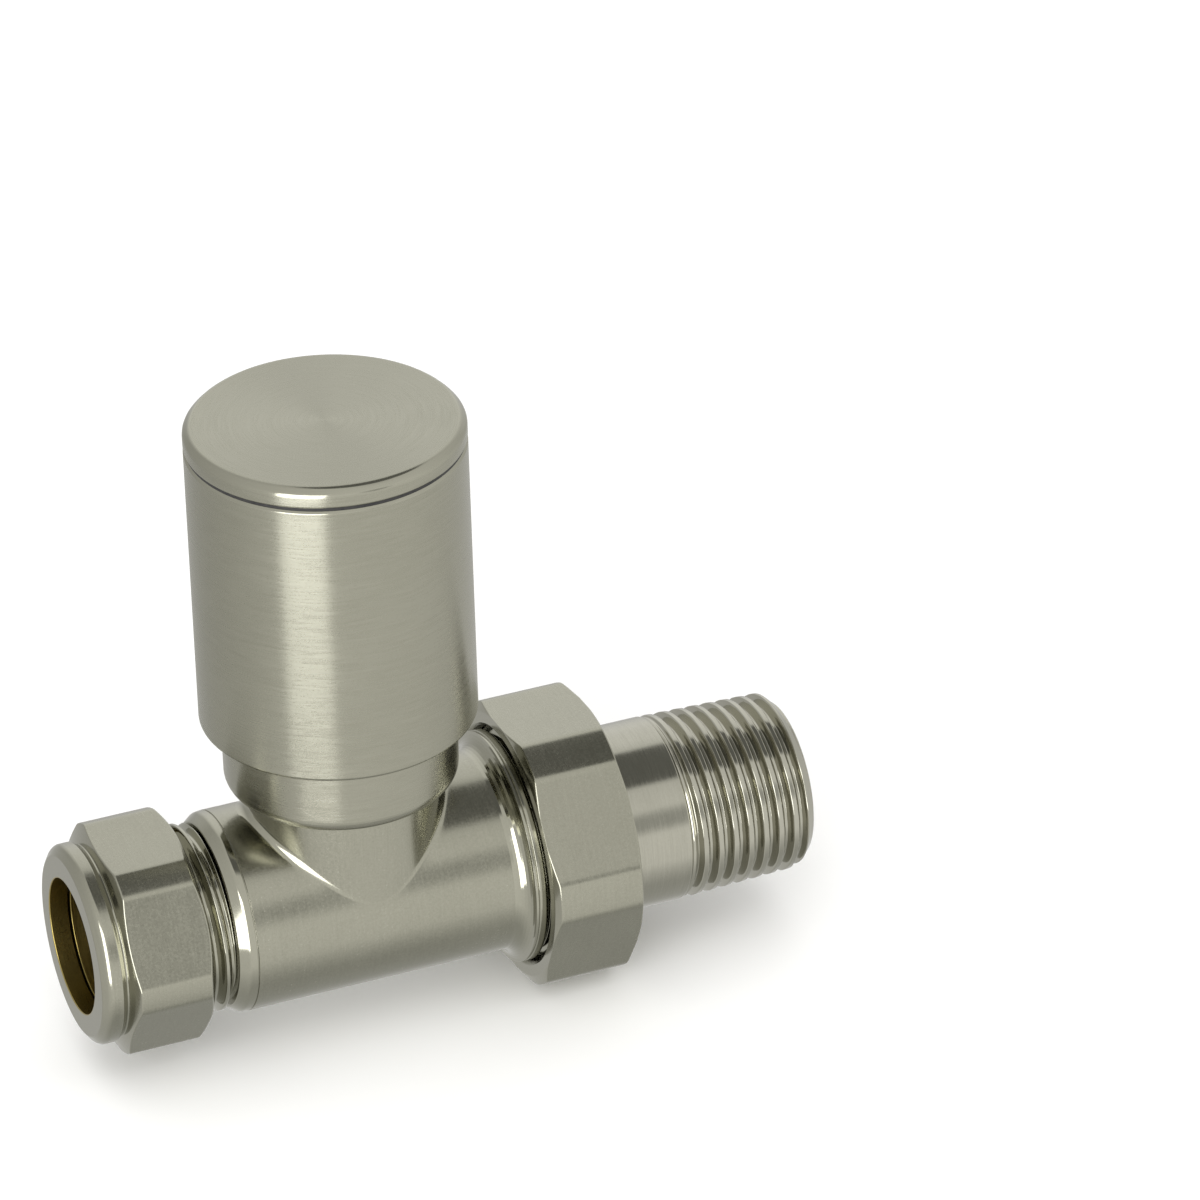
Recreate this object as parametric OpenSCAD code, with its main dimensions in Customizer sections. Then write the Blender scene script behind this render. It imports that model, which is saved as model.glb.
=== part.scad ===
// Straight lockshield radiator valve: 15 mm compression pipe end, union tail with a
// 1/2 inch taper thread, and a plain cylindrical cap over the regulating spindle.
// The origin is the centre of the pipe socket's mouth. +X runs along the flow axis
// towards the radiator, +Z runs up the spindle. All sizes are in millimetres.

/* [Layout] */
// Distance from the pipe nut's face to the spindle axis
pipe_reach = 31.7; // [31.4:0.1:32.4]
// Distance from the spindle axis to the end of the radiator tail
tail_reach = 51.7; // [51.7:0.1:54]
// Height of the neck's top face above the flow axis
neck_top = 14.1; // [14:0.05:14.2]

/* [Body] */
// Radius of the barrel
barrel_r = 11.2; // [11:0.05:11.6]
// Radius of the neck that rises from the barrel
neck_r = 10.64; // [10.55:0.01:10.66]
// Radius of the pipe socket, for a 15 mm tube
socket_r = 7.55; // [7.53:0.01:7.6]
// Radius of the seat port under the plug
port_r = 4.5; // [4:0.1:4.6]

/* [Pipe nut] */
// Width across the flats
pipe_nut_af = 23.5; // [23:0.1:24]
// Turned rotation of the flats about the flow axis
pipe_nut_clock = 33.3; // [0:0.1:60]
// Radius of the turned collar in front of the hexagon
pipe_nut_collar_r = 11.1; // [10.9:0.05:11.3]

/* [Union nut] */
// Width across the flats
union_nut_af = 29.7; // [29:0.1:30]
// Turned rotation of the flats about the flow axis
union_nut_clock = 26; // [0:0.1:60]

/* [Tail] */
// Outer radius of the plain tube
tail_r = 10.34; // [10.2:0.01:10.36]
// Radius of the tail's waterway
tail_bore_r = 6; // [5:0.1:6]

/* [Cap] */
// Outer radius of the cap
cap_r = 15.09; // [15:0.01:15.6]
// Height of the cap's lower rim above the flow axis
cap_bottom = 22.1; // [22:0.1:22.6]
// Height of the cap's top face above the flow axis
cap_top = 57.78; // [57.5:0.02:58.5]
// Thickness of the disc that closes the cap
disc_t = 2.25; // [2:0.05:2.4]

/* [Motion] */
// Rise of the spindle per turn
spindle_pitch = 1.5; // [1:0.1:1.5]

/* [Hidden] */
$fn = 96;
eps = 0.02;

// Pipe threads: 14 turns per inch, 1/2 and 3/4 inch sizes
gas_pitch = 1.814;
gas_depth = 1.16;
half_inch_r = 10.48;
three_quarter_r = 13.22;
taper = 1 / 32;
thread_gap = 0.08;
thread_flat = 0.34;
pipe_root_r = half_inch_r - gas_depth;
union_root_r = three_quarter_r - gas_depth;

// Stations along the flow axis, measured from the spindle axis
nut_face = -pipe_reach;
pipe_nut_end = -19.4;
body_left = -25.6;
pipe_stop = -15.5;
collar_x = -16.2;
shoulder_x = -14.3;
flare_x = 15.4;
ring_end = 18.7;
body_right = 24;
ring_r = 13;
union_left = 18.5;
union_lip = 26.5;
union_right = 28.86;
outlet_x = 14;
tail_left = 24.1;
tail_thread_x = 37.68;

// Nut corner radii where the flats meet the turned chamfers
pipe_nut_land_r = 12.8;
union_nut_land_r = 16;

// Waterways: two offset drillings joined by the seat port
inlet_drill_r = 3.6;
inlet_z = -3.4;
outlet_drill_r = 3.4;
outlet_z = 4.3;
outlet_r = 7.8;
chamber_r = 7.2;
chamber_floor = 2.7;
seat_z = 3.3;
neck_ledge = 8.2;
neck_bore_r = 8.6;
neck_seal_r = 9.45;

// Heights up the spindle, measured from the flow axis
shroud_r = 12.75;
web_top = neck_top + 1;
flange_top = web_top + 2.5;
hex_top = 23.6;
bearing_r = 8;
bonnet_top = 36;
packing_z = 29.5;
packing_r = 6;
gland_foot = 32.5;
gland_hex_z = 37.4;
gland_top = 41.4;
spindle_r = 4;
spindle_top = 46.5;
lift_room = 3.6;
plug_bottom = 4.3;
plug_top = 7;
pin_r = 2;
washer_r = 5.93;
screw_r = 1.6;
cap_inner_r = 13.5;
cap_step = 36.1;
cap_web = 51.5;
disc_gap = 0.35;
shell_top = cap_top - disc_t - disc_gap;
running = 0.05;
past = 1; // how far a cut runs beyond the face it opens

module on_spindle() { translate([pipe_reach, 0, 0]) children(); }
module along_x() { rotate([0, 90, 0]) children(); }

// Solid of revolution about the flow axis; points are [station, radius]
module turned_x(points) {
    along_x() rotate_extrude() polygon([for (p = points) [p[1], p[0]]]);
}

// Solid of revolution about the spindle axis; points are [height, radius]
module turned_z(points) {
    rotate_extrude() polygon([for (p = points) [p[1], p[0]]]);
}

// Crests and roots of a thread, drawn as rings a pitch apart
function ridges(start, count, pitch, crest, depth, slope = 0) = [
    for (k = [0 : count - 1]) let (at = start + k * pitch, r = crest - k * pitch * slope)
        each [[at - thread_flat / 2, r], [at + thread_flat / 2, r],
              [at + (pitch - thread_flat) / 2, r - depth],
              [at + (pitch + thread_flat) / 2, r - depth]]];

// Quarter of a circle from angle a0 to a1 about [station, radius]
function arc(at, r, a0, a1, steps = 8) = [
    for (i = [0 : steps]) let (a = a0 + (a1 - a0) * i / steps)
        [at[0] + r * cos(a), at[1] + r * sin(a)]];

module rod_x(x0, x1, r, z = 0, sides = $fn) {
    translate([x0, 0, z]) along_x() cylinder(h = x1 - x0, r = r, $fn = sides);
}

module rod_z(z0, z1, r, sides = $fn) {
    translate([0, 0, z0]) cylinder(h = z1 - z0, r = r, $fn = sides);
}

module ring_z(z0, z1, r_in, r_out) {
    difference() {
        rod_z(z0, z1, r_out);
        rod_z(z0 - past, z1 + past, r_in);
    }
}

// O-ring: centre height, centre radius, section radius
module oring_z(z, r, section) {
    rotate_extrude() translate([r, z]) circle(r = section, $fn = 32);
}

// Nut blank: a hexagon trimmed by turned chamfers, lying along X
module nut_blank(x0, x1, af, clock, outline) {
    intersection() {
        translate([x0, 0, 0]) along_x() rotate([0, 0, clock])
            cylinder(h = x1 - x0, r = af / 2 / cos(30), $fn = 6);
        turned_x(outline);
    }
}

// Outside of the body: barrel with its threads, flare and ring, and the neck
module body_blank() {
    collar_r = 10.3;
    pipe_thread = ridges(-24.92, 5, gas_pitch, half_inch_r, gas_depth);
    union_thread = ridges(19.28, 3, gas_pitch, three_quarter_r, gas_depth);
    flare = arc([flare_x, ring_r], ring_r - barrel_r, -90, 0);
    turned_x(concat(
        [[body_left, 0], [body_left, pipe_root_r]], pipe_thread,
        [[collar_x, pipe_root_r], [collar_x, collar_r], [collar_x + 1.1, barrel_r - 0.1],
         [shoulder_x, barrel_r]],
        flare,
        [[ring_end - 0.15, ring_r], [ring_end, ring_r - 0.15], [ring_end, union_root_r]],
        union_thread,
        [[body_right, union_root_r], [body_right, 0]]));
    rod_z(0, neck_top, neck_r);
}

// Pipe socket with the olive's cone, the outlet, and the groove for the tail seal
module body_ends() {
    cone_l = 1.6;
    rod_x(body_left - past, pipe_stop, socket_r);
    turned_x([[body_left - past, 0], [body_left - past, socket_r + cone_l + past],
        [body_left, socket_r + cone_l], [body_left + cone_l, socket_r], [body_left + cone_l, 0]]);
    rod_x(outlet_x, body_right + past, outlet_r);
    difference() {
        rod_x(body_right - 1.5, body_right + past, 10.3);
        rod_x(body_right - 1.5 - past, body_right + 2 * past, 8.7);
    }
}

// Inlet drilling, seat port, plug chamber around its raised seat, and outlet drilling
module body_waterway() {
    seat_rim_r = port_r + 1.1;
    rod_x(pipe_stop - past, past, inlet_drill_r, inlet_z);
    rod_z(inlet_z, seat_z + past, port_r);
    ring_z(chamber_floor, seat_z + past, seat_rim_r, chamber_r);
    rod_z(seat_z, neck_top, chamber_r);
    rod_x(chamber_r - 1.3, outlet_x + past, outlet_drill_r, outlet_z);
}

module valve_body() {
    color("darkkhaki") on_spindle() difference() {
        body_blank();
        body_ends();
        body_waterway();
        rod_z(neck_ledge, neck_top + past, neck_bore_r);
        rod_z(neck_top - 0.9, neck_top + past, neck_seal_r);
    }
}

module bonnet_seal() {
    color("dimgray") on_spindle()
        ring_z(neck_top - 0.88, neck_top - eps, neck_bore_r + eps, neck_seal_r - 0.03);
}

// Sleeve clamped under the bonnet, seen as the step below the cap
module shroud() {
    round_r = 1.6;
    skirt_bottom = neck_top - 0.2;
    color("silver") on_spindle() turned_z(concat(
        [[skirt_bottom, neck_r + 0.08]],
        arc([skirt_bottom + round_r, shroud_r - round_r], round_r, 180, 90),
        [[cap_bottom + 0.9, shroud_r], [cap_bottom + 1.2, shroud_r - 0.3],
         [cap_bottom + 1.2, 11.35], [web_top, 11.35], [web_top, 8.7], [neck_top, 8.7],
         [neck_top, neck_r + 0.08]]));
}

module bonnet() {
    male_r = 8.54;
    thread_depth = 0.5;
    thread = ridges(neck_ledge + 0.7, 4, 1, male_r, thread_depth);
    color("goldenrod") on_spindle() difference() {
        union() {
            turned_z(concat([[neck_ledge + 0.1, 0], [neck_ledge + 0.1, 7.9]], thread,
                [[web_top, male_r - thread_depth], [web_top, 11.2], [flange_top, 11.2],
                 [flange_top, 0]]));
            rod_z(flange_top - eps, hex_top, 10.97, 6);
            rod_z(hex_top - eps, bonnet_top, bearing_r);
        }
        rod_z(neck_ledge - past, neck_ledge + lift_room + 0.1, 6.8);
        rod_z(neck_ledge, 21.6, 5);
        rod_z(20, bonnet_top + past, spindle_r + running);
        rod_z(packing_z, bonnet_top + past, packing_r);
    }
}

module gland_packing() {
    color("white") on_spindle()
        ring_z(packing_z + eps, gland_foot - eps, spindle_r + running, packing_r - 0.04);
}

module gland_nut() {
    collar_z = bonnet_top + 0.1;
    color("goldenrod") on_spindle() difference() {
        union() {
            rod_z(gland_foot, collar_z + eps, packing_r - running);
            rod_z(collar_z, gland_hex_z, 9.6);
            rod_z(gland_hex_z - eps, gland_top, 7.5, 6);
        }
        rod_z(gland_foot - past, gland_top + past, spindle_r + running);
    }
}

// Plastic carrier that turns on the bonnet and grips the cap from inside
module cap_adaptor() {
    hub_r = 10;
    rim_r = cap_inner_r - 0.07;
    bottom = hex_top + 0.05;
    color("gainsboro") on_spindle() turned_z([
        [bottom, bearing_r + running], [bottom, hub_r - 0.2], [bottom + 0.6, hub_r - 0.2],
        [bottom + 0.6, rim_r], [27.2, rim_r],
        [27.2, hub_r], [28, hub_r], [28, rim_r], [29, rim_r], [29, 11.7], [30.9, 11.7],
        [30.9, rim_r], [32, rim_r], [32, hub_r], [33.4, hub_r], [33.4, rim_r],
        [cap_step - 0.06, rim_r], [cap_step - 0.06, bearing_r + running]]);
}

module cap_oring() {
    color("dimgray") on_spindle() oring_z(29.95, 12.61, 0.86);
}

module cap_shell() {
    color("silver") on_spindle() turned_z([
        [cap_bottom, cap_inner_r + 0.3], [cap_bottom, cap_r - 0.25], [cap_bottom + 0.25, cap_r],
        [shell_top - 0.25, cap_r], [shell_top, cap_r - 0.25], [shell_top, 4],
        [cap_web, 4], [cap_web, 12.3], [cap_step, 12.3], [cap_step, cap_inner_r],
        [cap_bottom + 0.3, cap_inner_r]]);
}

// Dark ring that shows as the line under the cap's disc
module cap_gasket() {
    color("dimgray") on_spindle()
        ring_z(shell_top, shell_top + disc_gap, 12, cap_r - 0.2);
}

module cap_disc() {
    edge = 0.7;
    color("silver") on_spindle() turned_z([
        [shell_top - 3, 0], [shell_top - 3, 3.96], [shell_top + disc_gap, 3.96],
        [shell_top + disc_gap, cap_r - 0.15], [shell_top + disc_gap + 0.15, cap_r],
        [cap_top - edge, cap_r], [cap_top, cap_r - edge], [cap_top, 0]]);
}

// Stem with its thread, two O-ring grooves and the square that takes the key
module spindle() {
    square_side = 5;
    groove_r = 2.75;
    foot_r = 3.8;
    shoulder_z = gland_top + 0.4;
    thread = ridges(12.4, 3, spindle_pitch, 4.94, 0.7);
    color("goldenrod") on_spindle() difference() {
        union() {
            turned_z(concat(
                [[plug_top + 0.1, 0], [plug_top + 0.1, foot_r], [12.2, foot_r]], thread,
                [[16.9, spindle_r], [22.9, spindle_r], [22.9, groove_r], [24.3, groove_r],
                 [24.3, spindle_r], [26, spindle_r], [26, groove_r], [27.4, groove_r],
                 [27.4, spindle_r], [gland_top, spindle_r], [shoulder_z, spindle_r - 0.4],
                 [shoulder_z, 0]]));
            translate([-square_side / 2, -square_side / 2, gland_top])
                cube([square_side, square_side, spindle_top - gland_top]);
        }
        rod_z(plug_top, 12, pin_r + running);
    }
}

module spindle_orings() {
    color("dimgray") on_spindle() {
        oring_z(23.6, 3.4, 0.62);
        oring_z(26.7, 3.4, 0.62);
    }
}

// Plug that carries the washer; its pin sits in the spindle's foot
module jumper() {
    color("goldenrod") on_spindle() difference() {
        union() {
            rod_z(plug_bottom, plug_top, 6.4);
            rod_z(plug_top - eps, plug_top + 4.58, pin_r);
        }
        rod_z(plug_bottom - past, plug_bottom + 0.8, washer_r + 0.02);
        rod_z(plug_bottom - past, plug_bottom + 2.4, screw_r);
    }
}

module seat_washer() {
    color("dimgray") on_spindle() ring_z(seat_z + eps, plug_bottom + 0.78, screw_r, washer_r);
}

module washer_screw() {
    head_bottom = seat_z - 1.1;
    slot_w = 0.7;
    color("silver") on_spindle() difference() {
        union() {
            rod_z(head_bottom, seat_z, 2.6);
            rod_z(seat_z - eps, plug_bottom + 2.28, screw_r - 0.04);
        }
        translate([-3, -slot_w / 2, head_bottom - 0.5]) cube([6, slot_w, 1]);
    }
}

module olive() {
    color("gold") on_spindle() turned_x([
        [-29.3, socket_r], [-29.3, 8.05], [-27.95, 9.4], [-26.35, 9.4], [-25.0, 8.05],
        [-24.6, socket_r]]);
}

// Compression nut: flat face, bevelled collar, shallow neck and a chamfered hexagon
module pipe_nut() {
    hex_start = -28.85;
    chamfer_l = 0.75;
    neck = 10.7;
    thread_r = half_inch_r + thread_gap;
    outline = [
        [nut_face, 0], [nut_face, 10.05], [nut_face + 0.55, 10.85],
        [nut_face + 0.95, pipe_nut_collar_r], [hex_start - 0.7, pipe_nut_collar_r],
        [hex_start - 0.25, neck], [hex_start, neck],
        [hex_start + chamfer_l, pipe_nut_land_r], [pipe_nut_end - 0.75, pipe_nut_land_r],
        [pipe_nut_end, pipe_nut_land_r - 1.3], [pipe_nut_end, 0]];
    color("silver") on_spindle() difference() {
        nut_blank(nut_face - past, pipe_nut_end + past, pipe_nut_af, pipe_nut_clock, outline);
        rod_x(nut_face - past, pipe_nut_end + past, socket_r);
        turned_x([[-29.6, 0], [-29.6, 7.9], [-27.8, 9.7], [-27.8, thread_r],
            [pipe_nut_end - 0.3, thread_r], [pipe_nut_end + past, thread_r + 0.3 + past],
            [pipe_nut_end + past, 0]]);
    }
}

module tail_seal() {
    color("dimgray") on_spindle() along_x() oring_z(body_right - 0.74, 9.5, 0.74);
}

module union_nut() {
    chamfer_r = 14.93;
    chamfer_l = 0.42;
    thread_r = three_quarter_r + thread_gap;
    outline = [
        [union_left, 0], [union_left, chamfer_r], [union_left + chamfer_l, union_nut_land_r],
        [union_right - chamfer_l, union_nut_land_r], [union_right, chamfer_r],
        [union_right, 0]];
    color("silver") on_spindle() difference() {
        nut_blank(union_left - past, union_right + past, union_nut_af, union_nut_clock, outline);
        rod_x(union_left - past, union_lip, thread_r);
        turned_x([[union_left - past, 0], [union_left - past, thread_r + 0.4 + past],
            [union_left + 0.4, thread_r], [union_left + 0.4, 0]]);
        rod_x(union_lip - past, union_right + past, tail_r + thread_gap);
    }
}

// Tail with its flange, plain tube and taper thread; a hexagon key turns it from inside
module tail() {
    thread = ridges(tail_thread_x, 8, gas_pitch, tail_r, gas_depth, taper);
    root_end = tail_r - gas_depth - 7 * gas_pitch * taper;
    key_af = 12;
    key_l = 10;
    color("lightsteelblue") on_spindle() difference() {
        turned_x(concat(
            [[tail_left, 0], [tail_left, 12.75], [tail_left + 0.2, 12.95],
             [union_lip - 0.25, 12.95], [union_lip - 0.05, 12.75], [union_lip - 0.05, tail_r],
             [36.6, tail_r], [36.95, tail_r - 0.5], [37.25, tail_r - 0.5]],
            thread,
            [[tail_reach - 0.2, root_end], [tail_reach, root_end - 0.2], [tail_reach, 0]]));
        rod_x(tail_left - past, tail_reach + past, tail_bore_r);
        rod_x(tail_left - past, tail_left + key_l, key_af / 2 / cos(30), sides = 6);
        turned_x([[tail_reach - 0.6, 0], [tail_reach - 0.6, tail_bore_r],
            [tail_reach + past, tail_bore_r + 0.6 + past], [tail_reach + past, 0]]);
    }
}

valve_body();
bonnet_seal();
shroud();
bonnet();
gland_packing();
gland_nut();
cap_adaptor();
cap_oring();
cap_shell();
cap_gasket();
cap_disc();
spindle();
spindle_orings();
jumper();
seat_washer();
washer_screw();
olive();
pipe_nut();
tail_seal();
union_nut();
tail();
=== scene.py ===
"""Looks for the straight lockshield radiator valve: turned and milled skins over the CAD
frame, nickel, brass and rubber materials, a pale floor, soft lights and the camera.
Lengths are in millimetres from the point where the flow axis meets the spindle axis,
and row() turns them into the frame's metres."""
import math

import bmesh
import bpy
import numpy as np
from mathutils import Matrix, Vector

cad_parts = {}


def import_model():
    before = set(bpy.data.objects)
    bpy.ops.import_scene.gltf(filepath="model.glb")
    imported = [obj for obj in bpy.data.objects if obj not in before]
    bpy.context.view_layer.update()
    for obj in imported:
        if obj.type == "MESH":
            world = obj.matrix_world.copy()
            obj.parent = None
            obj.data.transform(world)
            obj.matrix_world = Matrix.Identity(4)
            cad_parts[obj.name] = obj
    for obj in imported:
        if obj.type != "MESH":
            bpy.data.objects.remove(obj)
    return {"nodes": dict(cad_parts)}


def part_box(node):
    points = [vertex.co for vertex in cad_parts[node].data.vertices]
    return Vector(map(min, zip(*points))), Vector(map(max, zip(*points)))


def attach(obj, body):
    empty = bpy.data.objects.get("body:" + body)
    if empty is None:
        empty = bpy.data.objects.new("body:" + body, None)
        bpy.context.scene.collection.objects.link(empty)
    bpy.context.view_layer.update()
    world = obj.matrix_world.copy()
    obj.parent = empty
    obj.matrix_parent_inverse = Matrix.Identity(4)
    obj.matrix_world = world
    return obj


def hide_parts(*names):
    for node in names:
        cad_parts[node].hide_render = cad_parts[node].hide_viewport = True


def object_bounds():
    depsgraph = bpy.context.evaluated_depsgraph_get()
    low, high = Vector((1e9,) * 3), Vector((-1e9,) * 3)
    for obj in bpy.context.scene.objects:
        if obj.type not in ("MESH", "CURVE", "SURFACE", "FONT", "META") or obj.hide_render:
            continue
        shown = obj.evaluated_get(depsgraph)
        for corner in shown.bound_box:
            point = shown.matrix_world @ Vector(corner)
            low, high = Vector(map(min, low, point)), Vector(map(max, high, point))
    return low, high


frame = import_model()
CAD_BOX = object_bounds()

MM = 0.001
TURN = 2 * math.pi
GAS_PITCH = 1.814          # both pipe threads, 14 turns to the inch
GAS_DEPTH = 1.16
HALF_INCH_R = 10.48        # crest of the pipe nut's thread
THREE_QUARTER_R = 13.22    # crest of the union nut's thread
PIPE_ROOT_R = 9.34
UNION_ROOT_R = 12.06
THREAD_STEP = 0.085        # station step of the thread meshes
SOCKET_R = 7.55            # pipe socket, clearance for a 15 mm tube
BARREL_R = 11.2
NECK_R = 10.64
NECK_TOP = 14.1
NECK_BEVEL = 0.25
WEB_TOP = 15.1             # top of the shroud's web, which the bonnet clamps
GRAIN_RUN = 0.05           # how slowly the brushed grain changes along its lines


def span(node):
    """A CAD node's lowest and highest corners in millimetres."""
    low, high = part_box(node)
    return [v / MM for v in low], [v / MM for v in high]


CAP_LOW, CAP_HIGH = span("cap_shell")
SPINDLE_X = (CAP_LOW[0] + CAP_HIGH[0]) / 2


def row(x, y, z):
    """Millimetres from the crossing of the axes to the frame's metres."""
    return Vector(((x + SPINDLE_X) * MM, y * MM, z * MM))


# ---------------------------------------------------------------- turned shapes

class Corner:
    """A corner of a turned outline: station along the axis, radius, size of its
    rounding, and the polish and painted sheen of the surface that starts at it."""

    def __init__(self, at, r, soft=0.08, polish=0.0, coat=0):
        self.at, self.r, self.soft, self.polish, self.coat = at, r, soft, polish, coat


def outline(corners, angles, closed=True, steps=3):
    """Rows of (station, radius, polish and painted sheen, coat) with every corner rounded.
    Stations and radii may vary with the angle, so that a hexagon is an outline too."""
    n, rows = len(corners), []
    points = [np.stack([c.at + 0 * angles, c.r + 0 * angles]) for c in corners]
    for i, c in enumerate(corners):
        if not closed and i in (0, n - 1):
            rows.append((*points[i], c.polish, c.coat))
            continue
        before, after = points[i - 1] - points[i], points[(i + 1) % n] - points[i]
        ends = []
        for edge in (before, after):
            length = np.maximum(np.hypot(*edge), 1e-9)
            ends.append(points[i] + edge * np.minimum(c.soft / length, 0.45))
        last = corners[i - 1]
        for k in range(steps + 1):
            t = k / steps
            p = (1 - t) ** 2 * ends[0] + 2 * t * (1 - t) * points[i] + t * t * ends[1]
            # Each rounding peaks in polish at its middle: edge wear, which the material also paints
            # lighter as a painted highlight.
            wear_and_sheen = 0.6 * 4 * t * (1 - t)
            polish = max((1 - t) * last.polish + t * c.polish, wear_and_sheen)
            rows.append((*p, polish, last.coat if t < 1 else c.coat))
    return rows


def thread_rows(x0, x1, crest, angles, start, low_end, high_end, depth=GAS_DEPTH,
                land=0.10, slope=0.0, run_out=0.0, polish=0.9):
    """Rows of a right-hand thread from x0 to x1. crest is the radius at x0 and slope its
    loss per mm, start a station of a crest on +Y, land the share of the wave that stays
    crest, run_out the length over which the grooves deepen. Both ends are turned down to
    a cone, given as its (radius at the end, rise per mm)."""
    rows = []
    for x in np.arange(x0, x1 + THREAD_STEP / 2, THREAD_STEP):
        turn = ((x - start) / GAS_PITCH - angles / TURN) % 1.0
        wave = 0.5 - 0.5 * np.cos(TURN * turn)
        groove = np.clip((wave - land) / (0.9 - land), 0, 1) ** 0.9
        cut = depth * min(1.0, (x - x0) / run_out) if run_out else depth
        r = crest - (x - x0) * slope - cut * groove
        r = np.minimum(r, low_end[0] + (x - x0) * low_end[1])
        r = np.minimum(r, high_end[0] + (x1 - x) * high_end[1])
        rows.append((np.full_like(angles, x), r, polish, 0))
    return rows


def new_object(name, verts, faces, coats, polish, grain, materials):
    """A closed mesh with its finish stored on its points. verts are in frame metres."""
    mesh = bpy.data.meshes.new(name)
    mesh.from_pydata([tuple(v) for v in verts], [], [tuple(f) for f in faces])
    for m in materials:
        mesh.materials.append(m)
    mesh.polygons.foreach_set("material_index", np.asarray(coats, np.int32))
    a = mesh.attributes.new("polish", "FLOAT", "POINT")
    a.data.foreach_set("value", np.asarray(polish, np.float32))
    g = mesh.attributes.new("grain", "FLOAT_VECTOR", "POINT")
    g.data.foreach_set("vector", np.asarray(grain, np.float32).ravel())
    bm = bmesh.new()
    bm.from_mesh(mesh)
    bmesh.ops.remove_doubles(bm, verts=bm.verts, dist=2e-7)
    bmesh.ops.dissolve_degenerate(bm, edges=bm.edges, dist=1e-8)
    bmesh.ops.recalc_face_normals(bm, faces=bm.faces)
    bm.to_mesh(mesh)
    bm.free()
    shade(mesh)
    obj = bpy.data.objects.new(name, mesh)
    bpy.context.scene.collection.objects.link(obj)
    return obj


def shade(mesh):
    """Smooth shading whose point normals lean to the larger faces, so that flats stay
    flat beside their small rounded edges."""
    mesh.update()
    total = np.zeros((len(mesh.vertices), 3))
    for p in mesh.polygons:
        for v in p.vertices:
            total[v] += np.array(p.normal) * p.area
    size = np.linalg.norm(total, axis=1, keepdims=True)
    mesh.polygons.foreach_set("use_smooth", np.ones(len(mesh.polygons), bool))
    mesh.normals_split_custom_set_from_vertices((total / np.maximum(size, 1e-20)).tolist())


def place(axis, at, r, angles):
    """Points of one turned row. Angles run from +Y to +Z about X, or +X to +Y about Z."""
    c, s = np.cos(angles), np.sin(angles)
    if axis == "x":
        return np.stack([at, r * c, r * s], -1)
    return np.stack([r * c, r * s, at], -1)


def revolve(name, rows, angles, axis, materials, closed=True):
    """A solid of revolution from outline rows."""
    n, m = len(rows), len(angles)
    points = np.array([place(axis, at, r, angles) for at, r, _, _ in rows])
    verts = (points.reshape(-1, 3) + [SPINDLE_X, 0, 0]) * MM
    polish = np.repeat([p for _, _, p, _ in rows], m)
    grain = grain_field(rows, angles)
    faces, coats = [], []
    for i in range(n if closed else n - 1):
        j = (i + 1) % n
        for k in range(m):
            q = (k + 1) % m
            faces.append((i * m + k, i * m + q, j * m + q, j * m + k))
            coats.append(rows[i][3])
    return new_object(name, verts, faces, coats, polish, grain, materials)


def grain_field(rows, angles):
    """Where each point lies in the brushed grain, in millimetres. The first coordinate
    runs across the brush lines and the other two slowly along them."""
    at = np.array([a for a, _, _, _ in rows])
    r = np.array([b for _, b, _, _ in rows])
    walk = np.hypot(np.diff(at, axis=0), np.diff(r, axis=0)).mean(axis=1)
    across = np.concatenate([[0], np.cumsum(walk)])[:, None] + 0 * at
    c, s = np.cos(angles), np.sin(angles)
    return np.stack([across, r * c * GRAIN_RUN, r * s * GRAIN_RUN], -1).reshape(-1, 3)


def ring_angles(count):
    """Angles evenly spaced round one turn."""
    return np.linspace(0, TURN, count, endpoint=False)


def hexagon(angles, flats, land, clock):
    """Radius of a hexagon whose corners are turned down to a land. clock is the angle
    of one flat's normal in degrees."""
    off = (angles - math.radians(clock) + TURN / 12) % (TURN / 6) - TURN / 12
    flat = flats / 2 / np.cos(off)
    blend = 0.12
    gap = np.clip(0.5 + (land - flat) / (2 * blend), 0, 1)
    return flat * gap + land * (1 - gap) - blend * gap * (1 - gap)


def square(angles, flats, land):
    """Radius of a square whose corners are turned down to a land."""
    off = (angles + TURN / 8) % (TURN / 4) - TURN / 8
    return np.minimum(flats / 2 / np.cos(off), land)


def stand_for(obj, node, body):
    """obj is what is seen of a CAD node, and moves with its body."""
    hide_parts(node)
    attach(obj, body)
    return obj


# ---------------------------------------------------------------- materials

def link(tree, a, b):
    tree.links.new(a, b)


def noise(tree, source, scale, detail=3.0, rough=0.6):
    """Noise from 0 to 1, scale being its cells in a unit of the source."""
    n = tree.nodes.new("ShaderNodeTexNoise")
    n.inputs["Scale"].default_value = scale
    n.inputs["Detail"].default_value = detail
    n.inputs["Roughness"].default_value = rough
    link(tree, source, n.inputs["Vector"])
    return n.outputs["Fac"]


def remap(tree, value, low, high, out_low, out_high):
    """value moved from the range low to high into the range out_low to out_high."""
    n = tree.nodes.new("ShaderNodeMapRange")
    n.inputs["From Min"].default_value = low
    n.inputs["From Max"].default_value = high
    n.inputs["To Min"].default_value = out_low
    n.inputs["To Max"].default_value = out_high
    link(tree, value, n.inputs["Value"])
    return n.outputs["Result"]


def feed(tree, socket, value):
    """Gives a socket a constant or the output of another node."""
    if isinstance(value, (int, float)):
        socket.default_value = value
    elif isinstance(value, tuple):
        socket.default_value = (*value, 1)
    else:
        link(tree, value, socket)


def calc(tree, op, a, b):
    n = tree.nodes.new("ShaderNodeMath")
    n.operation = op
    feed(tree, n.inputs[0], a)
    feed(tree, n.inputs[1], b)
    return n.outputs[0]


def mix_value(tree, factor, a, b):
    """a where factor is 0, b where it is 1."""
    n = tree.nodes.new("ShaderNodeMix")
    n.data_type = "FLOAT"
    link(tree, factor, n.inputs["Factor"])
    feed(tree, n.inputs[2], a)
    feed(tree, n.inputs[3], b)
    return n.outputs[0]


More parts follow.
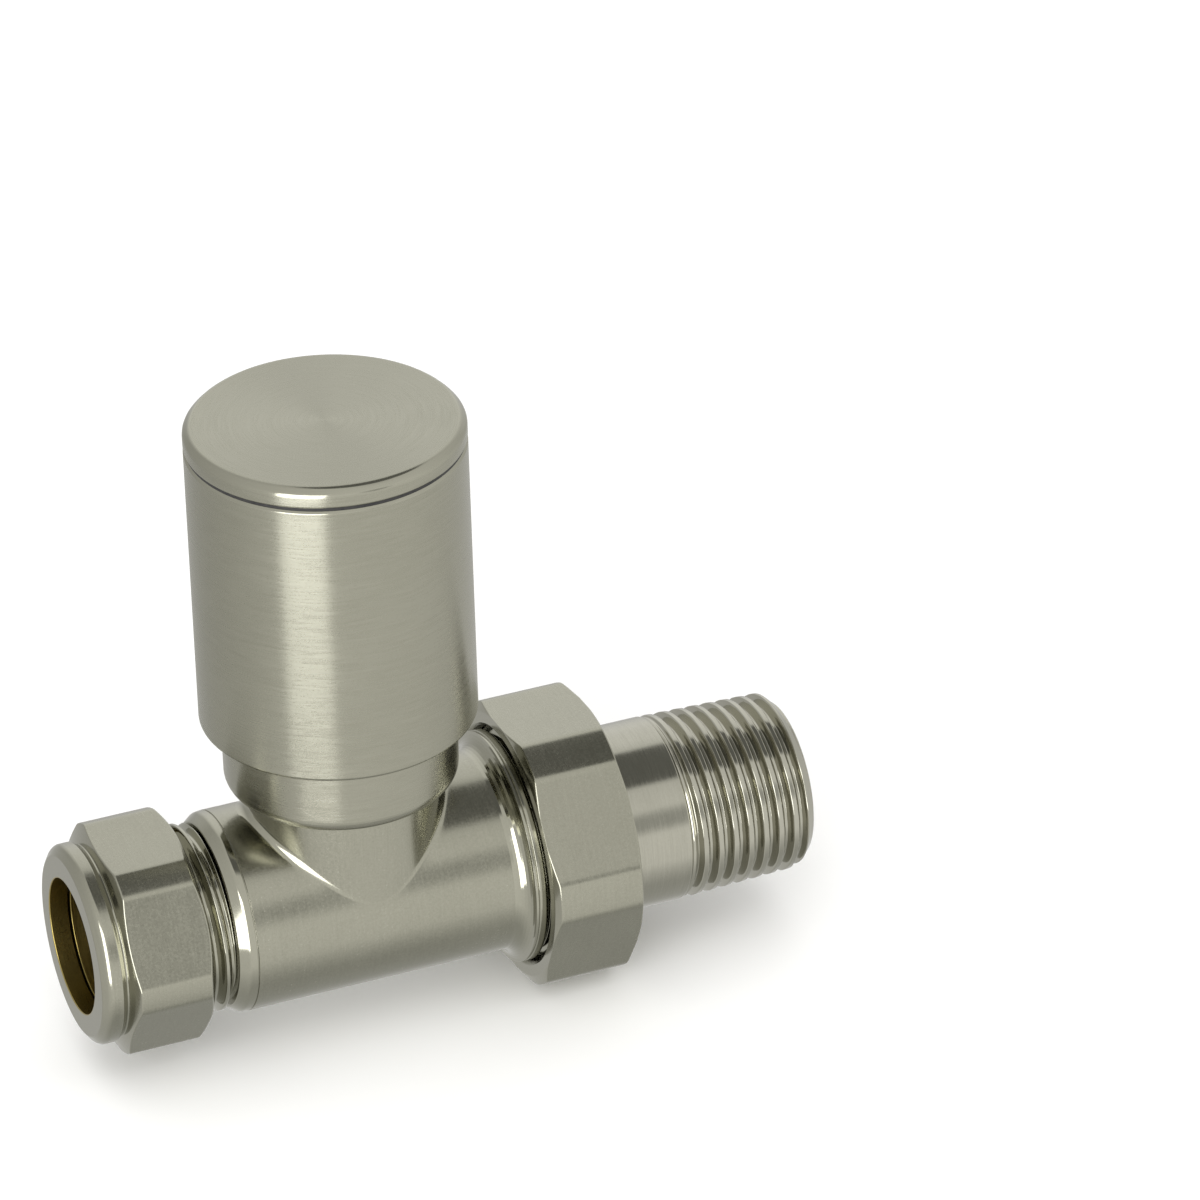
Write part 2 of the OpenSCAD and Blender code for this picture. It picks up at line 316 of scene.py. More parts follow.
def mix_colour(tree, factor, a, b):
    """Colour a where factor is 0, b where it is 1."""
    n = tree.nodes.new("ShaderNodeMix")
    n.data_type = "RGBA"
    link(tree, factor, n.inputs["Factor"])
    feed(tree, n.inputs[6], a)
    feed(tree, n.inputs[7], b)
    return n.outputs[2]


def material(name):
    """A new material, its node tree and its shader."""
    m = bpy.data.materials.new(name)
    m.use_nodes = True
    return m, m.node_tree, m.node_tree.nodes["Principled BSDF"]


def attribute(tree, name, output):
    """An output of a value stored on the mesh's points."""
    n = tree.nodes.new("ShaderNodeAttribute")
    n.attribute_name = name
    return n.outputs[output]


def bump(tree, shader, height, strength, distance):
    n = tree.nodes.new("ShaderNodeBump")
    n.inputs["Strength"].default_value = strength
    n.inputs["Distance"].default_value = distance
    link(tree, height, n.inputs["Height"])
    link(tree, n.outputs["Normal"], shader.inputs["Normal"])


def stretch_round(tree, shader, axis):
    """Stretches reflections across brush lines that run round an axis."""
    around = tree.nodes.new("ShaderNodeTangent")
    around.direction_type = "RADIAL"
    around.axis = axis
    link(tree, around.outputs["Tangent"], shader.inputs["Tangent"])
    shader.inputs["Anisotropic"].default_value = 0.75
    shader.inputs["Anisotropic Rotation"].default_value = 0.25


def metal(name, colour, tint, satin, bright, frost=0.25, turned="", skinned=True):
    """Plated or bare metal: brush lines along the grain, a fine speckle, faint handling
    marks, and polished chamfers and worn edges, which are smoother and also painted
    lighter towards tint as a painted highlight. satin and bright are the roughness of
    the brushed and of the polished surface, and frost is the share of speckle among the
    lines. turned is the axis that the lines run round, if they stretch reflections.
    A skinned mesh carries its own grain in millimetres, and a CAD mesh takes its
    coordinates in metres instead."""
    m, tree, shader = material(name)
    shader.inputs["Metallic"].default_value = 1.0
    coords = tree.nodes.new("ShaderNodeTexCoord").outputs["Object"]
    grain = attribute(tree, "grain", "Vector") if skinned else coords
    scale = 1.0 if skinned else 1000.0
    wide = noise(tree, grain, 1.1 * scale, 4.0, 0.7)
    lines = noise(tree, grain, 4.5 * scale, 4.0, 0.75)
    speckle = noise(tree, coords, 3600.0, 2.0, 0.7)
    marks = noise(tree, coords, 90.0, 5.0, 0.6)
    share = remap(tree, wide, 0.3, 0.7, frost - 0.1, frost + 0.1)
    brushed = mix_value(tree, share, lines, speckle)
    rough = calc(tree, "ADD", remap(tree, brushed, 0.3, 0.7, satin - 0.06, satin + 0.06),
                 remap(tree, marks, 0.3, 0.7, -0.02, 0.02))
    cloud = calc(tree, "ADD", calc(tree, "MULTIPLY", brushed, 0.75),
                 calc(tree, "MULTIPLY", marks, 0.25))
    tone = mix_colour(tree, remap(tree, cloud, 0.34, 0.66, 0.0, 1.0), colour, tint)
    height = brushed
    if skinned:
        polish = attribute(tree, "polish", "Fac")
        clean = remap(tree, marks, 0.3, 0.7, bright - 0.02, bright + 0.03)
        rough = mix_value(tree, polish, rough, clean)
        # Polished places are painted lighter, up to 0.7 of the way to tint: a painted highlight on
        # top of their lower roughness.
        tone = mix_colour(tree, calc(tree, "MULTIPLY", polish, 0.7), tone, tint)
        height = calc(tree, "MULTIPLY", brushed, calc(tree, "SUBTRACT", 1.1, polish))
    link(tree, rough, shader.inputs["Roughness"])
    link(tree, tone, shader.inputs["Base Color"])
    if turned:
        stretch_round(tree, shader, turned)
    bump(tree, shader, height, 0.2, 0.00002)
    return m


def rubber(name):
    """Moulded black rubber with a trace of dust."""
    m, tree, shader = material(name)
    coords = tree.nodes.new("ShaderNodeTexCoord").outputs["Object"]
    dust = noise(tree, coords, 900.0, 4.0)
    dusty = remap(tree, dust, 0.35, 0.7, 0, 1)
    tone = mix_colour(tree, dusty, (0.010, 0.010, 0.011), (0.028, 0.027, 0.026))
    link(tree, tone, shader.inputs["Base Color"])
    link(tree, remap(tree, dust, 0.3, 0.7, 0.45, 0.62), shader.inputs["Roughness"])
    bump(tree, shader, noise(tree, coords, 2600.0), 0.15, 0.00002)
    return m


def plastic(name, colour, shadow):
    """Matt moulded plastic, faintly mottled from shadow to colour."""
    m, tree, shader = material(name)
    coords = tree.nodes.new("ShaderNodeTexCoord").outputs["Object"]
    mottle = noise(tree, coords, 260.0, 4.0)
    tone = mix_colour(tree, remap(tree, mottle, 0.35, 0.65, 0, 1), shadow, colour)
    link(tree, tone, shader.inputs["Base Color"])
    link(tree, remap(tree, mottle, 0.3, 0.7, 0.38, 0.5), shader.inputs["Roughness"])
    bump(tree, shader, noise(tree, coords, 3000.0), 0.12, 0.00002)
    return m


NICKEL_DARK, NICKEL_LIGHT = (0.300, 0.296, 0.240), (0.375, 0.370, 0.306)
BRIGHT_DARK, BRIGHT_LIGHT = (0.36, 0.354, 0.298), (0.43, 0.422, 0.360)
BRASS_DARK, BRASS_LIGHT = (0.26, 0.20, 0.055), (0.40, 0.32, 0.11)
STEEL_DARK, STEEL_LIGHT = (0.42, 0.42, 0.42), (0.54, 0.54, 0.54)
NICKEL = metal("satin_nickel", NICKEL_DARK, NICKEL_LIGHT, 0.24, 0.07, frost=0.6)
TURNED_NICKEL = metal("turned_nickel", NICKEL_DARK, NICKEL_LIGHT, 0.28, 0.10, turned="Z")
BRIGHT = metal("bright_nickel", BRIGHT_DARK, BRIGHT_LIGHT, 0.15, 0.08)
BRASS = metal("brass", BRASS_DARK, BRASS_LIGHT, 0.32, 0.18)
PLAIN_BRASS = metal("plain_brass", BRASS_DARK, BRASS_LIGHT, 0.34, 0.2, skinned=False)
PLAIN_STEEL = metal("plain_steel", STEEL_DARK, STEEL_LIGHT, 0.3, 0.2, skinned=False)
RUBBER = rubber("black_rubber")
PTFE = plastic("packing", (0.86, 0.86, 0.83), (0.74, 0.74, 0.71))
WHITE = plastic("white_plastic", (0.82, 0.82, 0.79), (0.72, 0.72, 0.69))


# ---------------------------------------------------------------- cap and headwork

def cap_shell():
    r, low, high = CAP_HIGH[0] - SPINDLE_X, CAP_LOW[2], CAP_HIGH[2]
    step, web = 36.1, 51.5
    skirt_r, inner_r, hole_r = 13.5, 12.3, 4.0
    angles = ring_angles(256)
    corners = [
        Corner(low, 13.6, 0.1, 0.4), Corner(low, r - 0.3, 0.12, 0.8), Corner(low + 0.3, r, 0.15),
        Corner(high - 0.27, r, 0.08, 1.0), Corner(high, r - 0.27, 0.05, 0.8),
        Corner(high, hole_r, 0.1, 0, 1), Corner(web, hole_r, 0.1, 0, 1),
        Corner(web, inner_r, 0.4, 0, 1), Corner(step, inner_r, 0.1, 0, 1),
        Corner(step, skirt_r, 0.1, 0, 1)]
    obj = revolve("cap_shell_skin", outline(corners, angles), angles, "z", [TURNED_NICKEL, BRASS])
    return stand_for(obj, "cap_shell", "cap")


def cap_disc():
    low, high = span("cap_disc")
    r = high[0] - SPINDLE_X
    rim = CAP_HIGH[2] + 0.35
    edge, peg_r = 0.75, 3.96
    angles = ring_angles(256)
    corners = [
        Corner(low[2], 0.0), Corner(low[2], peg_r, 0.2), Corner(rim, peg_r, 0.1),
        Corner(rim, r - 0.15, 0.08, 0.2), Corner(rim + 0.15, r, 0.1, 0.1),
        Corner(high[2] - edge, r, 0.3, 1.0), Corner(high[2], r - edge, 0.3, 0.0),
        Corner(high[2], 0.0)]
    rows = outline(corners, angles, closed=False)
    obj = revolve("cap_disc_skin", rows, angles, "z", [TURNED_NICKEL], closed=False)
    return stand_for(obj, "cap_disc", "cap")


def shroud():
    low, high = span("shroud")
    r = high[0] - SPINDLE_X
    round_r, pocket_r, hole_r, sleeve_r = 1.6, 11.35, 8.7, 10.72
    angles = ring_angles(224)
    bowl = []
    for t in np.linspace(math.pi / 2, 0, 9):
        at, around = low[2] + round_r * (1 - math.sin(t)), r - round_r * (1 - math.cos(t))
        bowl.append(Corner(at, around, 0.05, 0.15))
    corners = bowl + [
        Corner(high[2] - 0.3, r, 0.1, 1.0), Corner(high[2], r - 0.3, 0.1, 0.5),
        Corner(high[2], pocket_r, 0.1), Corner(WEB_TOP, pocket_r, 0.1),
        Corner(WEB_TOP, hole_r, 0.1), Corner(NECK_TOP, hole_r, 0.1),
        Corner(NECK_TOP, sleeve_r, 0.1), Corner(low[2], sleeve_r, 0.05, 0.5)]
    obj = revolve("shroud_skin", outline(corners, angles), angles, "z", [TURNED_NICKEL])
    return stand_for(obj, "shroud", "valve")


def bonnet():
    """Headwork: screw, undercut, flange, hexagon and the bearing that the cap turns on."""
    bottom, flange, hex_top, top = 8.3, 17.6, 23.6, 36.0
    screw_r, undercut_r, flange_r, bearing_r = 8.5, 8.04, 11.2, 8.0
    packing_r, stem_r, thread_r, room_r = 6.0, 4.05, 5.0, 6.8
    angles = ring_angles(192)
    nut = hexagon(angles, 19.0, 10.75, 30)
    slim = np.minimum(nut, 9.7)
    corners = [
        Corner(bottom, room_r), Corner(bottom, 7.9, 0.3), Corner(9.0, screw_r, 0.2),
        Corner(12.6, screw_r, 0.2), Corner(12.9, undercut_r, 0.2), Corner(WEB_TOP, undercut_r),
        Corner(WEB_TOP, flange_r, 0.15, 0.6), Corner(flange, flange_r, 0.2),
        Corner(flange, nut, 0.05), Corner(hex_top - 0.6, nut, 0.15, 0.6),
        Corner(hex_top, slim, 0.15, 0.2), Corner(hex_top, bearing_r, 0.15, 0.4),
        Corner(top - 0.4, bearing_r, 0.15, 0.6), Corner(top, bearing_r - 0.4, 0.1),
        Corner(top, packing_r, 0.1), Corner(29.5, packing_r), Corner(29.5, stem_r),
        Corner(21.6, stem_r), Corner(21.6, thread_r), Corner(11.9, thread_r),
        Corner(11.9, room_r)]
    obj = revolve("bonnet_skin", outline(corners, angles), angles, "z", [BRASS])
    return stand_for(obj, "bonnet", "valve")


def gland_nut():
    foot, seat, hex_z, top = 32.5, 36.1, 37.4, 41.4
    foot_r, flange_r, stem_r = 5.95, 9.6, 4.05
    angles = ring_angles(144)
    nut = hexagon(angles, 13.0, 7.3, 30)
    slim = np.minimum(nut, 6.6)
    corners = [
        Corner(foot, stem_r), Corner(foot, foot_r, 0.3), Corner(seat, foot_r),
        Corner(seat, flange_r, 0.2, 0.4), Corner(hex_z, flange_r, 0.25), Corner(hex_z, nut, 0.05),
        Corner(top - 0.5, nut, 0.15, 0.6), Corner(top, slim, 0.15, 0.2),
        Corner(top, stem_r + 0.3, 0.1, 0.6), Corner(top - 0.3, stem_r, 0.1)]
    obj = revolve("gland_nut_skin", outline(corners, angles), angles, "z", [BRASS])
    return stand_for(obj, "gland_nut", "valve")


def cap_adaptor():
    """White carrier: three ribs that the cap slides over, and the O-ring's groove."""
    rim, hub, bore, groove = 13.43, 10.0, 8.05, 11.7
    low, high = span("cap_adaptor")
    angles = ring_angles(192)
    corners = [
        Corner(low[2], bore, 0.2), Corner(low[2], hub, 0.2), Corner(24.25, hub),
        Corner(24.25, rim, 0.3), Corner(27.2, rim, 0.3), Corner(27.2, hub, 0.4),
        Corner(28.0, hub, 0.4), Corner(28.0, rim, 0.2), Corner(29.0, rim, 0.15),
        Corner(29.0, groove, 0.2), Corner(30.9, groove, 0.2), Corner(30.9, rim, 0.15),
        Corner(32.0, rim, 0.2), Corner(32.0, hub, 0.4), Corner(33.4, hub, 0.4),
        Corner(33.4, rim, 0.3), Corner(high[2], rim, 0.4), Corner(high[2], bore, 0.3)]
    obj = revolve("cap_adaptor_skin", outline(corners, angles), angles, "z", [WHITE])
    return stand_for(obj, "cap_adaptor", "adaptor")


def spindle():
    """Stem: pin bore, screw, two O-ring grooves, and the square for the key."""
    bottom, bore_end, shoulder, top = 7.1, 12.0, 41.8, 46.5
    pin_r, head_r, screw_r, stem_r, groove_r = 2.05, 3.8, 4.9, 4.0, 2.75
    angles = ring_angles(96)
    key = square(angles, 5.0, 3.42)
    foot = [
        Corner(bore_end, 0.0), Corner(bore_end, pin_r), Corner(bottom, pin_r),
        Corner(bottom, head_r, 0.2), Corner(12.2, head_r), Corner(12.6, screw_r, 0.1),
        Corner(16.6, screw_r, 0.1), Corner(17.0, stem_r)]
    grooves = [Corner(at, r, 0.1) for low, high in ((22.9, 24.3), (26.0, 27.4))
               for at, r in ((low, stem_r), (low, groove_r), (high, groove_r), (high, stem_r))]
    head = [
        Corner(shoulder - 0.4, stem_r, 0.1, 0.7), Corner(shoulder, stem_r - 0.4, 0.1, 0.2),
        Corner(shoulder, key, 0.03, 0.1), Corner(top - 0.4, key, 0.15, 0.7),
        Corner(top, key * 0.88, 0.15, 0.2), Corner(top, 0.0)]
    rows = outline(foot + grooves + head, angles, closed=False)
    obj = revolve("spindle_skin", rows, angles, "z", [BRASS], closed=False)
    return stand_for(obj, "spindle", "regulator")


# ---------------------------------------------------------------- nuts, olive and tail

def pipe_nut():
    """Compression nut: a turned collar with a rounded nose, and a chamfered hexagon."""
    low, high = span("pipe_nut")
    left, right = low[0] - SPINDLE_X, high[0] - SPINDLE_X
    collar, neck, land, flats, back_r = 11.1, 10.7, 12.8, 23.5, 11.6
    front_slope, back_slope = 0.357, 0.58
    hex_start, thread_end, cone_end = -28.85, -27.8, -29.6
    thread_r = 10.56
    angles = ring_angles(288)
    outer = hexagon(angles, flats, land, 33.3)
    front = hex_start + np.maximum(outer - neck, 0) * front_slope
    back = right - np.maximum(outer - back_r, 0) * back_slope
    corners = [
        Corner(left, SOCKET_R, 0.12, 0.35), Corner(left, 10.05, 0.12, 0.9),
        Corner(left + 0.55, 10.85, 0.25, 0.7), Corner(left + 0.95, collar, 0.2, 0.1),
        Corner(hex_start - 0.7, collar, 0.12, 0.8), Corner(hex_start - 0.25, neck, 0.1, 0.8),
        Corner(hex_start, neck, 0.06, 0.6), Corner(front, outer, 0.14, 0.0),
        Corner(back, outer, 0.18, 0.75), Corner(right, np.minimum(outer, back_r), 0.12, 0.5),
        Corner(right, thread_r + 0.3, 0.1, 0.3, 1), Corner(right - 0.3, thread_r, 0.1, 0.2, 1),
        Corner(thread_end, thread_r, 0.1, 0, 1), Corner(thread_end, 9.7, 0.1, 0, 1),
        Corner(cone_end, 7.9, 0.1, 0, 1), Corner(cone_end, SOCKET_R, 0.05, 0.2, 1)]
    obj = revolve("pipe_nut_skin", outline(corners, angles), angles, "x", [NICKEL, BRASS])
    return stand_for(obj, "pipe_nut", "pipe_coupling")


def union_nut():
    """Union nut: a hexagon chamfered at both ends, and the lip that pulls the tail in."""
    low, high = span("union_nut")
    left, right = low[0] - SPINDLE_X, high[0] - SPINDLE_X
    land, flats, face_r, slope = 16.0, 29.7, 14.93, 0.39
    thread_r, lip_r, lip = 13.3, 10.42, 26.5
    angles = ring_angles(288)
    outer = hexagon(angles, flats, land, 26.0)
    chamfer = np.maximum(outer - face_r, 0) * slope
    face = np.minimum(outer, face_r)
    corners = [
        Corner(left, thread_r + 0.4, 0.08, 0.6), Corner(left, face, 0.12, 0.8),
        Corner(left + chamfer, outer, 0.16, 0.0), Corner(right - chamfer, outer, 0.16, 0.8),
        Corner(right, face, 0.12, 0.3), Corner(right, lip_r, 0.15, 0.2),
        Corner(lip, lip_r, 0.1, 0, 1), Corner(lip, thread_r, 0.1),
        Corner(left + 0.4, thread_r, 0.08, 0.3)]
    obj = revolve("union_nut_skin", outline(corners, angles), angles, "x", [NICKEL, BRASS])
    return stand_for(obj, "union_nut", "union")


def olive():
    edge_r, crown_r = 8.05, 9.4
    angles = ring_angles(160)
    corners = [
        Corner(-29.3, SOCKET_R), Corner(-29.3, edge_r, 0.2), Corner(-27.95, crown_r, 0.6),
        Corner(-26.35, crown_r, 0.6), Corner(-25.0, edge_r, 0.2), Corner(-24.6, SOCKET_R, 0.05)]
    obj = revolve("olive_skin", outline(corners, angles), angles, "x", [BRASS])
    return stand_for(obj, "olive", "compression_ring")


def tail():
    """Tail: flange, plain tube, taper thread with a turned nose, and the bored waterway
    with its hexagon key socket."""
    low, high = span("tail")
    left, right = low[0] - SPINDLE_X, high[0] - SPINDLE_X
    flange, flange_r, tube_r = 26.45, 12.95, 10.34
    start, start_r, nose_r = 36.85, tube_r - 0.35, 8.75
    angles = ring_angles(224)
    bore, key, key_end = 6.0, hexagon(angles, 12.0, 6.85, 30), 34.1
    head = outline([
        Corner(left, key, 0.1), Corner(left, flange_r, 0.2, 0.4),
        Corner(flange, flange_r, 0.2, 0.4), Corner(flange, tube_r, 0.2, 0.0),
        Corner(start - 0.3, tube_r, 0.08, 0.9), Corner(start, start_r, 0.1, 0.9)],
        angles, closed=False)
    screw = thread_rows(start + 0.02, right, tube_r, angles, start=37.4, depth=1.0, land=0.24,
                        slope=1 / 32, low_end=(start_r, 0.5), high_end=(nose_r, 1.0),
                        run_out=0.9)
    inner = outline([
        Corner(right, nose_r, 0.1, 0.6), Corner(right, bore + 0.6, 0.1, 0.8, 1),
        Corner(right - 0.6, bore, 0.1, 0.3, 1), Corner(key_end, bore, 0.1, 0, 1),
        Corner(key_end - 0.1, key, 0.05, 0, 1), Corner(left, key, 0.1, 0, 1)],
        angles, closed=False)
    rows = head + screw + inner
    obj = revolve("tail_skin", rows, angles, "x", [BRIGHT, BRASS], closed=False)
    return stand_for(obj, "tail", "radiator_tail")


# ---------------------------------------------------------------- body

class Sheets:
    """Sheets of quads that close into one skin. A row of a sheet is its ring of points in
    millimetres, their polish and painted sheen, and the coat of the faces that start at it."""

    def __init__(self):
        self.verts, self.faces, self.coats, self.polish, self.grain = [], [], [], [], []

    def add(self, rows):
        base, count = len(self.verts), len(rows[0][0])
        for points, polish, _ in rows:
            self.polish.extend(polish + np.zeros(count))
            for x, y, z in points:
                self.verts.append(((x + SPINDLE_X) * MM, y * MM, z * MM))
                self.grain.append((x, y * GRAIN_RUN, z * GRAIN_RUN))
        for i, (_, _, coat) in enumerate(rows[:-1]):
            here, after = base + i * count, base + (i + 1) * count
            for k in range(count):
                q = (k + 1) % count
                self.faces.append((here + k, here + q, after + q, after + k))
                self.coats.append(coat)


def neck_rows(phi, foot):
    """Rows down the neck, from the bevel on its top edge to foot, the fillet's start."""
    c, s = np.cos(phi), np.sin(phi)
    rows = []
    for cut in (NECK_BEVEL, 0.0):
        height = np.full_like(phi, NECK_TOP - (NECK_BEVEL - cut))
        rows.append((np.stack([(NECK_R - cut) * c, (NECK_R - cut) * s, height], -1), 0.5, 0))
    for t in np.linspace(0.05, 1, 14):
        height = (NECK_TOP - NECK_BEVEL) * (1 - t) + foot * t
        rows.append((np.stack([NECK_R * c, NECK_R * s, height], -1), 0.1, 0))
    return rows


def fillet_rows(phi, fillet, ball):
    """Rows over the rolling-ball fillet between neck and barrel. ball is the height of the
    ball's centre. The side towards the pipe is polished most, and so painted lighter: a painted
    highlight."""
    c, s = np.cos(phi), np.sin(phi)
    centre = np.stack([(NECK_R + fillet) * c, (NECK_R + fillet) * s, ball], -1)
    to_neck = np.stack([-c, -s, 0 * c], -1)
    to_barrel = -centre * [0, 1, 1]
    to_barrel /= np.linalg.norm(to_barrel, axis=1, keepdims=True)
    angle = np.arccos(np.clip((to_neck * to_barrel).sum(1), -1, 1))[:, None]
    # Polish rises only on the -X side, which faces the key lamp: a painted highlight along that side
    # of the seam.
    polish = 0.1 + 0.7 * np.maximum(-c, 0) ** 2
    rows = []
    for t in np.linspace(0, 1, 9)[1:]:
        arm = (np.sin((1 - t) * angle) * to_neck + np.sin(t * angle) * to_barrel) / np.sin(angle)
        rows.append((centre + fillet * arm, polish, 0))
    return rows


def barrel_rows(rim, edge):
    """Rows over the unrolled barrel, from the fillet's rim to the sheet's outer edge."""
    start = np.stack([rim[:, 0], np.arctan2(rim[:, 1], rim[:, 2])], -1)
    rows = []
    for t in np.linspace(0, 1, 43)[1:]:
        x, a = ((1 - t) * start + t * edge).T
        points = np.stack([x, BARREL_R * np.sin(a), BARREL_R * np.cos(a)], -1)
        rows.append((points, 0.1, 0))
    return rows


def tee_rows(left, right):
    """Neck, fillet and barrel as one sheet of rows around the neck, and its outer edge,
    which is the barrel cut along its underside from left to right."""
    side, under, fillet = 60, 26, 1.1
    phi = ring_angles(4 * (side + under))
    ball = np.sqrt((BARREL_R + fillet) ** 2 - ((NECK_R + fillet) * np.sin(phi)) ** 2)
    rows = neck_rows(phi, ball) + fillet_rows(phi, fillet, ball)
    edge = edge_walk(side, under, left, right)
    return rows + barrel_rows(rows[-1][0], edge), edge


def edge_walk(side, under, left, right):
    """(x, angle from the top) around the unrolled barrel, starting at its right end's top."""
    middle = (left + right) / 2
    up = np.linspace(0, math.pi, side + 1)
    quads = [(right, a) for a in up[:-1]]
    quads += [(x, math.pi) for x in np.linspace(right, middle, under + 1)[:-1]]
    quads += [(x, math.pi) for x in np.linspace(middle, left, under + 1)[:-1]]
    quads += [(left, a) for a in up[::-1][:-1]]
    quads += [(left, -a) for a in up[:-1]]
    quads += [(x, -math.pi) for x in np.linspace(left, middle, under + 1)[:-1]]
    quads += [(x, -math.pi) for x in np.linspace(middle, right, under + 1)[:-1]]
    quads += [(right, -a) for a in up[::-1][:-1]]
    return np.array(quads)


def neck_bore(count):
    """Rows down inside the neck: seal recess, screw bore, chamber, seat and port."""
    seal_r, bore_r, chamber_r, seat_r, port_r = 9.45, 8.6, 7.2, 5.6, 4.5
    recess, ledge, chamber_floor, seat, port_end = 13.2, 8.2, 2.7, 3.3, -3.4
    mouth = [
        (NECK_TOP, NECK_R - NECK_BEVEL), (NECK_TOP, seal_r), (recess, seal_r), (recess, bore_r),
        (ledge, bore_r), (ledge, chamber_r), (chamber_floor, chamber_r), (chamber_floor, seat_r),
        (seat, seat_r), (seat, port_r), (port_end, port_r), (port_end, 0.0)]
    lip = ring_angles(count)
    return [(place("z", np.full_like(lip, z), r, lip), 0.2, 1) for z, r in mouth]


def valve_body():
    left, right = -14.1, 15.2
    tee, edge = tee_rows(left, right)
    skin = Sheets()
    for rows in (tee, neck_bore(len(edge)), left_end(edge, left), right_end(edge, right)):
        skin.add(rows)
    obj = new_object("valve_body_skin", skin.verts, skin.faces, skin.coats, skin.polish,
                     skin.grain, [NICKEL, BRASS])
    return stand_for(obj, "valve_body", "valve")


def end_angles(edge, at):
    """Angles about X, from +Y to +Z, of the barrel edge's points at one end."""
    around = np.unique(np.round(edge[np.isclose(edge[:, 0], at), 1], 9))
    around = around[around > -math.pi + 1e-6]
    return math.pi / 2 - around


def about_x(rows, angles):
    """Outline rows turned about the flow axis into rows of a sheet."""
    return [(place("x", at, r, angles), polish, coat) for at, r, polish, coat in rows]


def drilled_floor(angles, floor_x, socket, end, drill, drop):
    """The flat floor of a brass socket, with a drilling in it that is off centre by drop."""
    edge_x = floor_x + math.copysign(0.1, end - floor_x)
    steps = [(floor_x, socket, 0), (floor_x, drill + 0.1, drop), (edge_x, drill, drop),
             (end, drill, drop), (end, 0.0, drop)]
    rows = []
    for x, r, z in steps:
        points = place("x", np.full_like(angles, x), r, angles)
        points[:, 2] += z
        rows.append((points, 0.1, 1))
    return rows


def left_end(edge, start):
    """Scribed line, bevelled collar, pipe thread, and the socket with the olive's cone."""
    angles = end_angles(edge, start)
    collar_x, mouth, stop, cone_r = -16.2, -25.6, -15.5, 9.1
    scribed_r = BARREL_R - 0.12
    body = outline([
        Corner(start, BARREL_R, 0.1, 0.1), Corner(start - 0.06, BARREL_R, 0.02, 0.1),
        Corner(start - 0.1, scribed_r, 0.02, 0.1), Corner(start - 0.2, scribed_r, 0.02, 0.9),
        Corner(start - 0.24, BARREL_R, 0.03, 0.9),
        Corner(collar_x + 1.1, BARREL_R - 0.1, 0.2, 0.9), Corner(collar_x, 10.3, 0.12, 0.6),
        Corner(collar_x, PIPE_ROOT_R, 0.1, 0.6)], angles, closed=False)
    screw = thread_rows(mouth, collar_x, HALF_INCH_R, angles, start=-16.6,
                        low_end=(PIPE_ROOT_R, 1.6), high_end=(PIPE_ROOT_R, 2.4))
    inner = outline([
        Corner(mouth, PIPE_ROOT_R, 0.1, 0.4), Corner(mouth, cone_r, 0.05, 0.3, 1),
        Corner(mouth + 1.55, SOCKET_R, 0.1, 0.1, 1), Corner(stop, SOCKET_R, 0.1, 0.1, 1)],
        angles, closed=False)
    rows = about_x(body + screw[::-1] + inner, angles)
    return rows + drilled_floor(angles, stop, SOCKET_R, -4.7, 3.6, -3.4)


def right_end(edge, start):
    """Concave flare, the turned ring against the union nut, the union thread and the
    outlet with the tail seal's groove."""
    angles = end_angles(edge, start)
    flare_r, ring, thread_x, mouth, outlet = 1.8, 13.0, 19.1, 24.0, 14.0
    outlet_r, groove_in, groove_out = 7.8, 8.7, 10.3
    flare = []
    for t in np.linspace(0, math.pi / 2, 9):
        at, r = start + 0.15 + flare_r * math.sin(t), ring - flare_r * math.cos(t)
        flare.append(Corner(at, r, 0.03, 0.9))
    turned = [
        Corner(17.45, ring, 0.05, 0.9), Corner(17.5, ring - 0.12, 0.03, 0.9),
        Corner(17.62, ring, 0.03, 0.9), Corner(18.35, ring, 0.12, 0.9),
        Corner(18.6, ring - 0.22, 0.1, 0.9), Corner(18.62, UNION_ROOT_R + 0.04, 0.05, 0.5),
        Corner(thread_x, UNION_ROOT_R, 0.05, 0.6)]
    body = outline([Corner(start, BARREL_R, 0.05, 0.1)] + flare + turned, angles, closed=False)
    screw = thread_rows(thread_x, mouth, THREE_QUARTER_R, angles, start=19.9,
                        low_end=(UNION_ROOT_R, 1.6), high_end=(UNION_ROOT_R, 1.6))
    inner = outline([
        Corner(mouth, UNION_ROOT_R, 0.1, 0.5, 1), Corner(mouth, groove_out, 0.05, 0.3, 1),
        Corner(mouth - 1.5, groove_out, 0.05, 0, 1), Corner(mouth - 1.5, groove_in, 0.05, 0, 1),
        Corner(mouth, groove_in, 0.05, 0.3, 1), Corner(mouth, outlet_r, 0.1, 0.3, 1),
        Corner(outlet, outlet_r, 0.05, 0, 1)], angles, closed=False)
    rows = about_x(body + screw + inner, angles)
    return rows + drilled_floor(angles, outlet, outlet_r, 7.4, 3.4, 4.3)


# ---------------------------------------------------------------- small pieces kept from the CAD

def finish_cad(node, mat):
    """A CAD node whose shape is right keeps it and takes a detailed material."""
    mesh = frame["nodes"][node].data
    mesh.materials.clear()
    mesh.materials.append(mat)


# ---------------------------------------------------------------- floor, lights and camera

def floor():
    """A white floor that takes shadows but isn't mirrored in the metal."""
    half, level = 6.0, CAD_BOX[0][2] - 0.0002
    mesh = bpy.data.meshes.new("floor")
    corners = [(-half, -half, level), (half, -half, level), (half, half, level), (-half, half, level)]
    mesh.from_pydata(corners, [], [(0, 1, 2, 3)])
    obj = bpy.data.objects.new("floor", mesh)
    bpy.context.scene.collection.objects.link(obj)
    m, _, shader = material("floor")
    shader.inputs["Base Color"].default_value = (0.93, 0.93, 0.93, 1)
    shader.inputs["Roughness"].default_value = 0.65
    shader.inputs["Specular IOR Level"].default_value = 0.2
    mesh.materials.append(m)
    obj.visible_glossy = False


